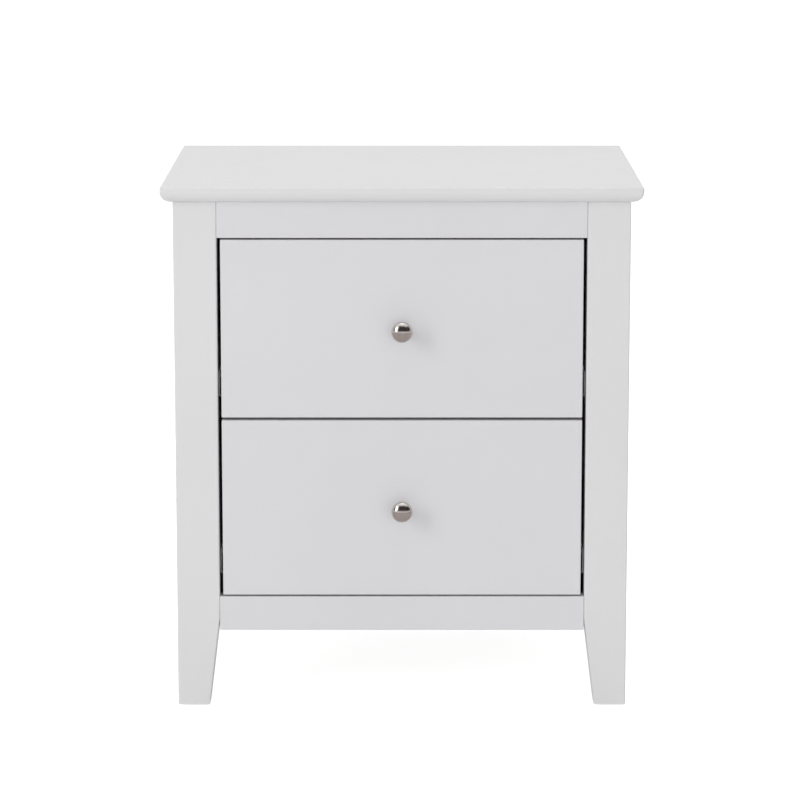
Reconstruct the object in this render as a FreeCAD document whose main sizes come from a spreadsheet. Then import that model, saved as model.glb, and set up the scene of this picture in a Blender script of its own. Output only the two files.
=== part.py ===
import FreeCAD, Part
import math
import os

import Sketcher

# A two-drawer nightstand: four tapered corner posts, rails, side panels and a moulded top make the
# carcass, and two inset drawers run out of its front on roller slides.
# Millimetres. +X is the stand's right as seen from the front, -Y is its front and +Z is up. The
# origin is on the floor, below the centre of the stand's whole width and depth, knobs included.

SIZES = {
    # whole stand
    "top_width": 500,
    "top_depth": 400,
    "top_thickness": 16,
    "overall_height": 556,
    "side_overhang": 12.5,
    "front_overhang": 12.5,
    "top_under_round": 11.5,
    "top_arris": 1.5,
    # posts, and the nylon glides under them
    "post_width": 45,
    "post_depth": 45,
    "post_arris": 1,
    "foot_width": 33.5,
    "foot_depth": 33.5,
    "taper_height": 97,
    "glide_height": 2,
    "glide_radius": 9,
    "glide_pin_radius": 1.5,
    "glide_pin_length": 12,
    # rails, cleats, side panels, back and bottom
    "rail_thickness": 18,
    "top_rail_height": 38,
    "bottom_rail_height": 36.5,
    "leg_clearance": 83.5,
    "cleat_height": 22,
    "cleat_depth": 22,
    "cleat_end_gap": 2,
    "side_thickness": 15,
    "side_recess": 6,
    "back_thickness": 5,
    "back_inset": 8,
    "back_groove_depth": 6,
    "back_end_gap": 1.5,
    "groove_clearance": 0.1,
    "bottom_panel_thickness": 5,
    "bottom_panel_rise": 15.5,
    "bottom_panel_groove": 6,
    "bottom_panel_gap": 0.5,
    # drawers
    "drawer_thickness": 18,
    "drawer_side_gap": 3.75,
    "drawer_edge_gap": 1.9,
    "drawer_between_gap": 3,
    "drawer_arris": 0.8,
    "box_board": 12,
    "box_lift": 22,
    "box_drop": 36.5,
    "box_back_gap": 10.5,
    "bottom_thickness": 5,
    "bottom_lift": 8,
    "bottom_groove_depth": 6,
    "bottom_end_gap": 0.5,
    # roller slides
    "slide_sheet": 1.2,
    "slide_setback": 20,
    "slide_end_gap": 4.5,
    "slide_lip": 3,
    "slide_flange_start": 30,
    "runner_front_gap": 1,
    "runner_rise": 3,
    "track_rise": 5,
    "track_lip": 3,
    "runner_foot": 11,
    "roller_radius": 11.5,
    "roller_width": 5.5,
    "roller_offset": 4.5,
    "roller_setback": 14,
    "roller_round": 0.6,
    "rolling_gap": 0.3,
    "roller_headroom": 1.3,
    "roller_end_play": 0.1,
    "lip_clearance": 0.8,
    "track_lip_clearance": 1.3,
    "axle_radius": 2,
    "axle_collar_radius": 3,
    "axle_head": 0.8,
    "axle_clearance": 0.05,
    "axle_web_gap": 0.4,
    "batten_height": 40,
    "batten_drop": 6.5,
    # fasteners
    "dowel_radius": 4,
    "dowel_length": 30,
    "box_dowel_radius": 3,
    "box_dowel_length": 22,
    "box_dowel_depth": 8,
    "dowel_clearance": 0.1,
    "dowel_end_gap": 1,
    "rail_dowel_pitch": 18,
    "panel_dowel_inset": 60,
    "batten_dowel_height": 12,
    "box_dowel_inset": 20,
    "small_screw_radius": 1.75,
    "small_screw_length": 14,
    "small_screw_head_radius": 3,
    "small_screw_head": 1,
    "cleat_screw_radius": 2,
    "cleat_screw_length": 35,
    "cleat_screw_head_radius": 4,
    "cleat_screw_head": 2.2,
    "cleat_screw_inset": 50,
    "cleat_screw_step": 20,
    "screw_clearance": 0.05,
    "slide_screw_start": 60,
    "slide_screw_gap": 1.5,
    "slide_screw_into_post": 7.5,
    "runner_screw_inset": 45,
    "back_screw_inset": 40,
    # knobs
    "knob_radius": 11,
    "knob_projection": 27,
    "knob_face_height": 3.5,
    "knob_rim_height": 7,
    "knob_rim_bulge": 1.5,
    "knob_base_radius": 6.5,
    "knob_base_height": 1.5,
    "knob_neck_bow": 12,
    "knob_bore_depth": 12,
    "knob_screw_radius": 2,
    "knob_screw_reach": 10,
    "knob_screw_head_radius": 4,
    "knob_screw_head": 2.5,
}

doc = FreeCAD.newDocument("Nightstand")
sheet = doc.addObject("Spreadsheet::Sheet", "Sizes")
for row, (name, number) in enumerate(SIZES.items(), start=1):
    sheet.set(f"A{row}", name)
    sheet.set(f"B{row}", str(number))
    sheet.setAlias(f"B{row}", name)
doc.recompute()


class Size:
    """A length kept as an expression of the sheet's cells, so that what it sizes follows the sheet."""

    def __init__(self, text):
        self.text = text

    def __str__(self):
        return self.text

    def __add__(self, other):
        return Size(f"({self} + {other})")

    def __radd__(self, other):
        return Size(f"({other} + {self})")

    def __sub__(self, other):
        return Size(f"({self} - {other})")

    def __rsub__(self, other):
        return Size(f"({other} - {self})")

    def __mul__(self, other):
        return Size(f"({self} * {other})")

    def __rmul__(self, other):
        return Size(f"({other} * {self})")

    def __truediv__(self, other):
        return Size(f"({self} / {other})")

    def __neg__(self):
        return Size(f"(0 - {self})")


class Cells:
    """The sheet's cells by name: cells.top_width is the Size of that cell."""

    def __getattr__(self, name):
        if name not in SIZES:
            raise AttributeError(name)
        return Size(f"Sizes.{name}")


cells = Cells()
VECTOR = FreeCAD.Vector
FACING = {
    "+x": VECTOR(1, 0, 0),
    "-x": VECTOR(-1, 0, 0),
    "+y": VECTOR(0, 1, 0),
    "-y": VECTOR(0, -1, 0),
    "+z": VECTOR(0, 0, 1),
    "-z": VECTOR(0, 0, -1),
}
LEFT, RIGHT = -1, 1
SIDES = {"left": LEFT, "right": RIGHT}

# Places that several pieces share.
carcass_width = cells.top_width - 2 * cells.side_overhang
carcass_depth = cells.top_depth - cells.front_overhang
furthest_front = Size(f"max({cells.knob_projection}; {cells.front_overhang})")
front_y = (furthest_front - carcass_depth) / 2
back_y = front_y + carcass_depth
top_z = cells.overall_height - cells.top_thickness
outer_x = carcass_width / 2
inner_x = outer_x - cells.post_width
opening_width = 2 * inner_x
rear_post_y = back_y - cells.post_depth
between_posts = rear_post_y - front_y - cells.post_depth
panel_outer_x = outer_x - cells.side_recess
panel_inner_x = panel_outer_x - cells.side_thickness
back_panel_y = back_y - cells.back_inset - cells.back_thickness
back_rail_y = back_panel_y - cells.rail_thickness
opening_z = cells.leg_clearance + cells.bottom_rail_height
opening_top_z = top_z - cells.top_rail_height
drawer_height = (
    opening_top_z - opening_z - 2 * cells.drawer_edge_gap - cells.drawer_between_gap
) / 2
drawer_width = opening_width - 2 * cells.drawer_side_gap
# The slides' sections close round their rollers: across the stand, then up.
axle_reach = cells.roller_offset + cells.roller_width + cells.roller_end_play + cells.axle_head
slide_space = axle_reach + cells.axle_web_gap + cells.slide_sheet
slide_flange = slide_space - cells.roller_offset + cells.lip_clearance + cells.slide_sheet
track_gap = cells.roller_offset - cells.track_lip_clearance - cells.slide_sheet
rear_axle_height = cells.slide_sheet + cells.rolling_gap + cells.roller_radius
slide_height = rear_axle_height + cells.roller_radius + cells.roller_headroom + cells.slide_sheet
track_height = slide_height + cells.track_rise
front_axle_height = track_height - cells.rolling_gap - cells.roller_radius
box_y = front_y + cells.drawer_thickness
box_depth = back_panel_y - cells.box_back_gap - box_y
box_width = opening_width - 2 * slide_space
box_height = drawer_height - cells.box_lift - cells.box_drop
slide_y = front_y + cells.slide_setback
slide_length = back_panel_y - cells.slide_end_gap - slide_y
runner_y = box_y + cells.runner_front_gap
runner_length = box_depth - cells.runner_front_gap
LOWER_Z = opening_z + cells.drawer_edge_gap
UPPER_Z = LOWER_Z + drawer_height + cells.drawer_between_gap
DRAWERS = {"upper": UPPER_Z, "lower": LOWER_Z}


def number_of(size):
    """A size's present value."""
    return float(sheet.evalExpression(str(size)))


def bind(thing, **sizes):
    """Binds each named property of thing to its size."""
    for name, size in sizes.items():
        thing.setExpression(name, str(size))


def put(thing, x, y, z, facing="+z"):
    """Places thing with its own +Z turned to face one way. The place follows the sheet."""
    turn = FreeCAD.Rotation(VECTOR(0, 0, 1), FACING[facing])
    thing.Placement = FreeCAD.Placement(VECTOR(0, 0, 0), turn)
    for axis, size in zip("xyz", (x, y, z)):
        thing.setExpression(f"Placement.Base.{axis}", str(size))
    return thing


def box(label, x, y, z, length, width, height):
    """A plain board, by its lowest corner and its size along X, Y and Z."""
    piece = doc.addObject("Part::Box", label)
    bind(piece, Length=length, Width=width, Height=height)
    return put(piece, x, y, z)


def rod(label, radius, length, x, y, z, facing="+z"):
    """A plain cylinder that starts at a place and runs the way it faces."""
    piece = doc.addObject("Part::Cylinder", label)
    bind(piece, Radius=radius, Height=length)
    return put(piece, x, y, z, facing)


def group(label, members):
    piece = doc.addObject("Part::Compound", label)
    piece.Links = members
    return piece


def less(label, blank, *tools):
    """The blank with every tool cut out of it."""
    piece = doc.addObject("Part::Cut", label)
    piece.Base = blank
    piece.Tool = tools[0] if len(tools) == 1 else group(f"{label}_tools", list(tools))
    return piece


def mirrored(label, source):
    """The right-hand twin of a left-hand piece."""
    piece = doc.addObject("Part::Mirroring", label)
    piece.Source = source
    piece.Normal = VECTOR(1, 0, 0)
    piece.Base = VECTOR(0, 0, 0)
    return piece


def arc_between(start, end, radius):
    """The short arc of a radius between two points, anticlockwise where the radius is positive."""
    chord = end - start
    middle = (start + end) / 2
    reach = math.sqrt(radius**2 - (chord.Length / 2) ** 2)
    aside = VECTOR(-chord.y, chord.x, 0).normalize() * math.copysign(reach, radius)
    centre = middle + aside
    first, last = (start, end) if radius > 0 else (end, start)
    angles = [math.atan2(point.y - centre.y, point.x - centre.x) for point in (first, last)]
    circle = Part.Circle(centre, VECTOR(0, 0, 1), abs(radius))
    return Part.ArcOfCircle(circle, *angles)


def outline(body, role, label, corners, bows=None):
    """A closed sketch on one of the body's own planes.

    corners are (across, up) pairs of sizes. bows gives the radius of the arc that leaves a corner,
    by the corner's number: positive where it runs anticlockwise.
    """
    bows = bows or {}
    sketch = body.newObject("Sketcher::SketchObject", label)
    plane = next(each for each in body.Origin.OriginFeatures if each.Role == role)
    sketch.AttachmentSupport = [(plane, "")]
    sketch.MapMode = "FlatFace"
    points = [VECTOR(number_of(across), number_of(up), 0) for across, up in corners]
    ends = []
    for index, start in enumerate(points):
        end = points[(index + 1) % len(points)]
        if index not in bows:
            sketch.addGeometry(Part.LineSegment(start, end))
            ends.append((1, 2))
            continue
        radius = number_of(bows[index])
        sketch.addGeometry(arc_between(start, end, radius))
        ends.append((1, 2) if radius > 0 else (2, 1))
        radius_name = f"bow_{index}"
        held = sketch.addConstraint(Sketcher.Constraint("Radius", index, abs(radius)))
        sketch.renameConstraint(held, radius_name)
        sketch.setExpression(f"Constraints.{radius_name}", f"abs({bows[index]})")
    for index, point in enumerate(points):
        after = (index + 1) % len(points)
        sketch.addConstraint(
            Sketcher.Constraint("Coincident", index, ends[index][1], after, ends[after][0])
        )
        across, up = corners[index]
        hold_corner(sketch, index, ends[index][0], "DistanceX", across, point.x, axis=-2)
        hold_corner(sketch, index, ends[index][0], "DistanceY", up, point.y, axis=-1)
    return sketch


def hold_corner(sketch, index, end, kind, size, value, axis):
    """Ties one corner of a sketch to its distance from the origin, or to an axis where that is 0."""
    if isinstance(size, int) and size == 0:
        sketch.addConstraint(Sketcher.Constraint("PointOnObject", index, end, axis))
        return
    label = f"{kind}_{index}"
    held = sketch.addConstraint(Sketcher.Constraint(kind, -1, 1, index, end, value))
    sketch.renameConstraint(held, label)
    sketch.setExpression(f"Constraints.{label}", str(size))


def new_body(label):
    return doc.addObject("PartDesign::Body", label)


def pad(body, sketch, length, reverse=False):
    """Extrudes a sketch along its normal, or the other way."""
    feature = body.newObject("PartDesign::Pad", f"{body.Name}Pad")
    feature.Profile = sketch
    feature.Reversed = reverse
    bind(feature, Length=length)
    return feature


def along_y(label, corners, length):
    """A profile drawn across X and Z and run back along +Y."""
    body = new_body(label)
    pad(body, outline(body, "XZ_Plane", f"{label}Profile", corners), length, reverse=True)
    return body


def turned(label, corners, bows=None):
    """A piece turned about its own Z axis from a half section of (radius, height) corners."""
    body = new_body(label)
    sketch = outline(body, "XZ_Plane", f"{label}Section", corners, bows)
    feature = body.newObject("PartDesign::Revolution", f"{label}Turning")
    feature.Profile = sketch
    feature.ReferenceAxis = (sketch, ["V_Axis"])
    feature.Angle = 360
    return body


def rectangle(length, width):
    return [(0, 0), (length, 0), (length, width), (0, width)]


def fillet(body, base, radius, wanted):
    """Rounds those edges of a feature that wanted picks by their bounding boxes."""
    doc.recompute()
    edges = enumerate(base.Shape.Edges, start=1)
    feature = body.newObject("PartDesign::Fillet", f"{body.Name}Round")
    feature.Base = (base, [f"Edge{number}" for number, edge in edges if wanted(edge.BoundBox)])
    bind(feature, Radius=radius)
    doc.recompute()
    return feature


def screw_master(label, radius, length, head_radius, head):
    """A pan-head screw with its tip along +Z and the underside of its head at z = 0."""
    tip = length - 2 * radius
    corners = [(0, -head), (head_radius, -head), (head_radius, 0), (radius, 0), (radius, tip), (0, length)]
    return turned(label, corners)


def copies(label, master, seats):
    """One group of identical pieces, each a link to the master. seats are (x, y, z, facing)."""
    links = []
    for index, (x, y, z, facing) in enumerate(seats):
        link = doc.addObject("App::Link", f"{label}_{index}")
        link.LinkedObject = master
        links.append(put(link, x, y, z, facing))
    return group(label, links)


def bores(label, radius, length, seats):
    """A group of cylinders to cut holes with, one at each seat."""
    rods = [
        rod(f"{label}_{index}", radius, length, x, y, z, facing)
        for index, (x, y, z, facing) in enumerate(seats)
    ]
    return group(label, rods)


def stepped_back(seat, distance):
    """A seat moved back along the way it faces."""
    *place, facing = seat
    x, y, z = (at - int(step) * distance for at, step in zip(place, FACING[facing]))
    return x, y, z, facing


def dowel_set(label, radius, length, seats):
    """Dowels that start at their seats, and the longer, wider holes that they sit in."""
    deeper = [stepped_back(seat, cells.dowel_end_gap) for seat in seats]
    hole_radius = radius + cells.dowel_clearance
    holes = bores(f"{label}_holes", hole_radius, length + 2 * cells.dowel_end_gap, deeper)
    return bores(label, radius, length, seats), holes


# ---- carcass ------------------------------------------------------------------------------------


def rail_centres():
    """The (y, z) middle of each of the four rails."""
    front = front_y + cells.rail_thickness / 2
    back = back_rail_y + cells.rail_thickness / 2
    high = top_z - cells.top_rail_height / 2
    low = cells.leg_clearance + cells.bottom_rail_height / 2
    return [(front, high), (front, low), (back, high), (back, low)]


def slide_base(drawer_z):
    """The underside of a drawer's carcass slides."""
    return drawer_z + cells.box_lift - cells.runner_rise


def carcass_dowels():
    """Dowels that join the rails, side panels and battens to the posts."""
    half = cells.dowel_length / 2
    seats = []
    for side in SIDES.values():
        for y, z in rail_centres():
            for step in (-1, 1):
                z_seat = z + step * cells.rail_dowel_pitch / 2
                seats.append((side * inner_x - half, y, z_seat, "+x"))
        joints = [front_y + cells.post_depth - half, rear_post_y - half]
        for y in joints:
            low = cells.leg_clearance + cells.panel_dowel_inset
            high = top_z - cells.panel_dowel_inset
            panel_x = side * (panel_outer_x + panel_inner_x) / 2
            seats += [(panel_x, y, z, "+y") for z in (low, (low + high) / 2, high)]
            batten_x = side * (panel_inner_x + inner_x) / 2
            for drawer_z in DRAWERS.values():
                z = slide_base(drawer_z) - cells.batten_drop + cells.batten_dowel_height
                seats.append((batten_x, y, z, "+y"))
    return dowel_set("carcass_dowels", cells.dowel_radius, cells.dowel_length, seats)


def carcass_slide_screws():
    """Three screws through each carcass slide: two into its batten and one into the rear post."""
    first = slide_y + cells.slide_screw_start
    last = rear_post_y + cells.slide_screw_into_post
    clear_of_axle = cells.axle_collar_radius + cells.small_screw_head_radius + cells.slide_screw_gap
    seats = []
    for drawer_z in DRAWERS.values():
        z = slide_base(drawer_z) + rear_axle_height + clear_of_axle
        for side, facing in ((LEFT, "-x"), (RIGHT, "+x")):
            x = side * (inner_x - cells.slide_sheet)
            seats += [(x, y, z, facing) for y in (first, (first + last) / 2, last)]
    radius = cells.small_screw_radius + cells.screw_clearance
    holes = bores("slide_screw_holes", radius, cells.small_screw_length + cells.dowel_end_gap, seats)
    return seats, holes


def cleat_screws(master):
    """Screws through the two cleats, up into the top and sideways into the rails."""
    z_side = top_z - cells.cleat_height / 2
    far = inner_x - cells.cleat_screw_inset
    near = far - cells.cleat_screw_step
    front_face = front_y + cells.rail_thickness + cells.cleat_depth
    rear_face = back_rail_y - cells.cleat_depth
    seats = []
    for side in SIDES.values():
        for face, inwards, facing in ((front_face, -1, "-y"), (rear_face, 1, "+y")):
            y_middle = face + inwards * cells.cleat_depth / 2
            seats.append((side * far, y_middle, top_z - cells.cleat_height, "+z"))
            seats.append((side * near, face, z_side, facing))
    radius = cells.cleat_screw_radius + cells.screw_clearance
    length = cells.cleat_screw_length + cells.dowel_end_gap / 2
    return copies("cleat_screws", master, seats), bores("cleat_screw_holes", radius, length, seats)


def back_panel_screws():
    """Screws through the back panel into the two back rails."""
    y = back_panel_y + cells.back_thickness
    far = inner_x - cells.back_screw_inset
    seats = [(x, y, z, "-y") for _, z in rail_centres()[2:] for x in (-far, 0, far)]
    radius = cells.small_screw_radius + cells.screw_clearance
    length = cells.small_screw_length + cells.dowel_end_gap / 2
    return seats, bores("back_screw_holes", radius, length, seats)


def back_panel_blank():
    """The back panel's board. Its edges stop a little short of the grooves that it sits in."""
    half = inner_x + cells.back_groove_depth - cells.back_end_gap
    z = cells.leg_clearance + cells.back_end_gap
    height = top_z - cells.back_end_gap - z
    return box("back_panel_blank", -half, back_panel_y, z, 2 * half, cells.back_thickness, height)


def back_groove_tool():
    """The grooves in the rear posts: they open on the inner faces and run up to the top."""
    half = inner_x + cells.back_groove_depth
    width = cells.back_thickness + 2 * cells.groove_clearance
    z = cells.leg_clearance
    return box(
        "back_grooves", -half, back_panel_y - cells.groove_clearance, z, 2 * half, width, top_z - z
    )


def bottom_panel():
    """The thin panel that closes the carcass below, and the tool for the rails' grooves that hold it.

    It is notched round the four posts.
    """
    gap = cells.bottom_panel_gap
    groove_y = front_y + cells.rail_thickness - cells.bottom_panel_groove
    groove_end_y = back_rail_y + cells.bottom_panel_groove
    y = groove_y + gap
    end_y = groove_end_y - gap
    z = cells.leg_clearance + cells.bottom_panel_rise
    thickness = cells.bottom_panel_thickness
    half = panel_inner_x - gap
    blank = box("bottom_panel_blank", -half, y, z, 2 * half, end_y - y, thickness)
    notch_x = inner_x - gap
    notch_width = half - notch_x
    front_notch = front_y + cells.post_depth + gap - y
    rear_notch_y = rear_post_y - gap
    notches = [
        box(f"bottom_panel_{end}_{name}_notch", x, at_y, z, notch_width, depth, thickness)
        for name, x in (("left", -half), ("right", notch_x))
        for end, at_y, depth in (
            ("front", y, front_notch),
            ("rear", rear_notch_y, end_y - rear_notch_y),
        )
    ]
    slack = cells.groove_clearance
    groove = box(
        "bottom_panel_grooves",
        -inner_x,
        groove_y,
        z - slack,
        opening_width,
        groove_end_y - groove_y,
        thickness + 2 * slack,
    )
    return less("bottom_panel", blank, *notches), groove


def glides():
    """Four nylon glides, each a disc with a pin that goes up into its foot."""
    corners = [
        (0, 0),
        (cells.glide_radius, 0),
        (cells.glide_radius, cells.glide_height),
        (cells.glide_pin_radius, cells.glide_height),
        (cells.glide_pin_radius, cells.glide_height + cells.glide_pin_length),
        (0, cells.glide_height + cells.glide_pin_length),
    ]
    seats = []
    for side in SIDES.values():
        x = side * (outer_x - cells.foot_width / 2)
        for y in (front_y + cells.foot_depth / 2, back_y - cells.foot_depth / 2):
            seats.append((x, y, 0, "+z"))
    radius = cells.glide_pin_radius + cells.screw_clearance
    length = cells.glide_height + cells.glide_pin_length + cells.dowel_end_gap
    return copies("foot_glides", turned("GlideMaster", corners), seats), bores(
        "glide_holes", radius, length, seats
    )


def post_blank(label, y, turned_round):
    """A left-hand post: a square leg whose two inner faces taper in to the foot."""
    body = new_body(label)
    height = top_z - cells.glide_height
    sketch = outline(body, "XY_Plane", f"{label}Section", rectangle(cells.post_width, cells.post_depth))
    leg = pad(body, sketch, height)
    fillet(body, leg, cells.post_arris, lambda box: box.ZLength > box.DiagonalLength * 0.999)
    tapers = (
        ("XZ_Plane", cells.foot_width, cells.post_width),
        ("YZ_Plane", cells.foot_depth, cells.post_depth),
    )
    for role, foot, full in tapers:
        wedge = [(foot, 0), (full, 0), (full, cells.taper_height - cells.glide_height)]
        pocket = body.newObject("PartDesign::Pocket", f"{label}Taper")
        pocket.Profile = outline(body, role, f"{label}Wedge", wedge)
        pocket.Type = "ThroughAll"
        pocket.Midplane = True
    put(body, -outer_x, y, cells.glide_height)
    if turned_round:
        # the rear post is the front one turned over front to back
        flipped = doc.addObject("Part::Mirroring", f"{label}_flipped")
        flipped.Source = body
        flipped.Normal = VECTOR(0, 1, 0)
        bind(flipped, **{"Base.y": y + cells.post_depth / 2})
        return flipped
    return body


def top_panel(label, screw_holes):
    """The moulded top: a rounded under edge on the front and sides, and a small arris above."""
    body = new_body(f"{label}_blank")
    sketch = outline(body, "XY_Plane", "TopSection", rectangle(cells.top_width, cells.top_depth))
    slab = pad(body, sketch, cells.top_thickness)
    depth = number_of(cells.top_depth)
    thickness = number_of(cells.top_thickness)

    def is_lower(box):
        return box.ZMax < thickness / 4 and box.YMin < depth / 2

    def is_upper(box):
        return box.ZMin > thickness * 0.99

    under = fillet(body, slab, cells.top_under_round, is_lower)
    fillet(body, under, cells.top_arris, is_upper)
    put(body, -cells.top_width / 2, front_y - cells.front_overhang, top_z)
    return less(label, body, screw_holes)


def rail(label, y, z, height, *holes):
    blank = box(f"{label}_blank", -inner_x, y, z, opening_width, cells.rail_thickness, height)
    return less(label, blank, *holes)


def cleat(label, y, screw_holes):
    length = opening_width - 2 * cells.cleat_end_gap
    z = top_z - cells.cleat_height
    blank = box(f"{label}_blank", -length / 2, y, z, length, cells.cleat_depth, cells.cleat_height)
    return less(label, blank, screw_holes)


def carcass_slide(label, z, axle_holes, screw_holes):
    """A left-hand carcass slide: a channel whose upper flange starts behind the front roller."""
    flange = slide_flange
    sheet_metal = cells.slide_sheet
    height = slide_height
    corners = [
        (0, 0),
        (flange, 0),
        (flange, cells.slide_lip),
        (flange - sheet_metal, cells.slide_lip),
        (flange - sheet_metal, sheet_metal),
        (sheet_metal, sheet_metal),
        (sheet_metal, height - sheet_metal),
        (flange, height - sheet_metal),
        (flange, height),
        (0, height),
    ]
    channel = along_y(f"{label}_channel", corners, slide_length)
    put(channel, -inner_x, slide_y, z)
    mouth = box(
        f"{label}_mouth",
        -inner_x + sheet_metal,
        slide_y,
        z + height - sheet_metal,
        flange - sheet_metal,
        cells.slide_flange_start,
        sheet_metal,
    )
    return less(label, channel, mouth, axle_holes, screw_holes)


def axle_master():
    """A riveted roller axle: it starts flush with the back of the sheet that holds it."""
    near = cells.roller_offset - cells.roller_end_play
    far = axle_reach - cells.axle_head
    corners = [
        (0, 0),
        (cells.axle_radius, 0),
        (cells.axle_radius, cells.slide_sheet),
        (cells.axle_collar_radius, cells.slide_sheet),
        (cells.axle_collar_radius, near),
        (cells.axle_radius, near),
        (cells.axle_radius, far),
        (cells.axle_collar_radius, far),
        (cells.axle_collar_radius, far + cells.axle_head),
        (0, far + cells.axle_head),
    ]
    return turned("AxleMaster", corners)


def roller(label, x, y, z, facing):
    """A nylon roller with rounded rims, bored for its axle."""
    bore = cells.axle_radius + cells.axle_clearance
    rim = cells.roller_radius
    soft = cells.roller_round
    width = cells.roller_width
    near = cells.roller_offset
    corners = [
        (bore, near),
        (rim - soft, near),
        (rim, near + soft),
        (rim, near + width - soft),
        (rim - soft, near + width),
        (bore, near + width),
    ]
    return put(turned(label, corners, {1: soft, 3: soft}), x, y, z, facing)


def build_carcass(small_screw, cleat_screw, axle):
    dowels, dowel_holes = carcass_dowels()
    slide_screw_seats, slide_screw_holes = carcass_slide_screws()
    long_screws, cleat_holes = cleat_screws(cleat_screw)
    back_screw_seats, back_holes = back_panel_screws()
    small_screws = copies("carcass_small_screws", small_screw, slide_screw_seats + back_screw_seats)
    feet, glide_holes = glides()
    back_grooves = back_groove_tool()
    bottom, bottom_grooves = bottom_panel()
    pieces = [dowels, small_screws, long_screws, feet, bottom]

    pieces.append(top_panel("top_panel", cleat_holes))

    front_post = less(
        "front_left_post",
        post_blank("FrontPost", front_y, turned_round=False),
        dowel_holes,
        glide_holes,
    )
    rear_post = less(
        "rear_left_post",
        post_blank("RearPost", rear_post_y, turned_round=True),
        dowel_holes,
        glide_holes,
        slide_screw_holes,
        back_grooves,
    )
    pieces += [front_post, rear_post]
    pieces += [mirrored("front_right_post", front_post), mirrored("rear_right_post", rear_post)]

    panel = less(
        "left_side_panel",
        box(
            "left_side_panel_blank",
            -panel_outer_x,
            front_y + cells.post_depth,
            cells.leg_clearance,
            cells.side_thickness,
            between_posts,
            top_z - cells.leg_clearance,
        ),
        dowel_holes,
    )
    pieces += [panel, mirrored("right_side_panel", panel)]

    high_z = top_z - cells.top_rail_height
    low_z = cells.leg_clearance
    high = cells.top_rail_height
    low = cells.bottom_rail_height
    pieces += [
        rail("top_front_rail", front_y, high_z, high, dowel_holes, cleat_holes),
        rail("bottom_front_rail", front_y, low_z, low, dowel_holes, bottom_grooves),
        rail("top_back_rail", back_rail_y, high_z, high, dowel_holes, cleat_holes, back_holes),
        rail("bottom_back_rail", back_rail_y, low_z, low, dowel_holes, back_holes, bottom_grooves),
        cleat("top_front_cleat", front_y + cells.rail_thickness, cleat_holes),
        cleat("top_back_cleat", back_rail_y - cells.cleat_depth, cleat_holes),
        less("back_panel", back_panel_blank(), back_holes),
    ]

    axle_seats = []
    for level, drawer_z in DRAWERS.items():
        base = slide_base(drawer_z)
        batten = less(
            f"{level}_left_batten",
            box(
                f"{level}_left_batten_blank",
                -panel_inner_x,
                front_y + cells.post_depth,
                base - cells.batten_drop,
                panel_inner_x - inner_x,
                between_posts,
                cells.batten_height,
            ),
            dowel_holes,
            slide_screw_holes,
        )
        pieces += [batten, mirrored(f"{level}_right_batten", batten)]

        axle_y = slide_y + cells.roller_setback
        axle_z = base + front_axle_height
        seats = [(-inner_x, axle_y, axle_z, "+x"), (inner_x, axle_y, axle_z, "-x")]
        axle_seats += seats
        axle_holes = bores(f"{level}_axle_holes", cells.axle_radius, cells.slide_sheet, seats)
        slide = carcass_slide(f"{level}_left_carcass_slide", base, axle_holes, slide_screw_holes)
        pieces += [slide, mirrored(f"{level}_right_carcass_slide", slide)]
        for name, (x, y, z, facing) in zip(SIDES, seats):
            pieces.append(roller(f"{level}_{name}_front_roller", x, y, z, facing))
    pieces.append(copies("carcass_roller_axles", axle, axle_seats))
    return pieces


# ---- drawers ------------------------------------------------------------------------------------


def knob_body(label):
    """A turned mushroom knob: base, waisted neck, bulged rim and a shallow domed face."""
    rim = cells.knob_radius - cells.knob_rim_bulge
    face_z = cells.knob_projection - cells.knob_face_height
    rim_z = face_z - cells.knob_rim_height
    rise = cells.knob_face_height
    half_rim = cells.knob_rim_height / 2
    bulge = cells.knob_rim_bulge
    face_bow = (rim * rim + rise * rise) / (2 * rise)
    rim_bow = (half_rim * half_rim + bulge * bulge) / (2 * bulge)
    bore = cells.knob_screw_radius + cells.screw_clearance
    corners = [
        (bore, 0),
        (cells.knob_base_radius, 0),
        (cells.knob_base_radius, cells.knob_base_height),
        (rim, rim_z),
        (rim, face_z),
        (0, cells.knob_projection),
        (0, cells.knob_bore_depth),
        (bore, cells.knob_bore_depth),
    ]
    return turned(label, corners, {2: -cells.knob_neck_bow, 3: rim_bow, 4: face_bow})


def drawer_front(level, z, dowel_holes, bottom_tool, knob_hole):
    body = new_body(f"{level}_drawer_front_blank")
    sketch = outline(body, "XZ_Plane", f"{level}FrontSection", rectangle(drawer_width, drawer_height))
    slab = pad(body, sketch, cells.drawer_thickness, reverse=True)
    fillet(body, slab, cells.drawer_arris, lambda box: box.YMax < 1e-6)
    put(body, -drawer_width / 2, front_y, z)
    return less(f"{level}_drawer_front", body, dowel_holes, bottom_tool, knob_hole)


def box_dowels(level, box_z):
    """Dowels that join a drawer's sides to its front and its back to its sides."""
    depth = cells.box_dowel_depth
    low = box_z + cells.bottom_lift + cells.bottom_thickness + cells.box_dowel_inset
    high = box_z + box_height - cells.box_dowel_inset
    back_middle_y = box_y + box_depth - cells.box_board / 2
    seats = []
    for side, inwards in ((LEFT, "+x"), (RIGHT, "-x")):
        side_middle_x = side * (box_width - cells.box_board) / 2
        back_end_x = side * (box_width / 2 - cells.box_board + depth)
        for z in (low, high):
            seats.append((side_middle_x, box_y - depth, z, "+y"))
            seats.append((back_end_x, back_middle_y, z, inwards))
    return dowel_set(f"{level}_drawer_dowels", cells.box_dowel_radius, cells.box_dowel_length, seats)


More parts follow.
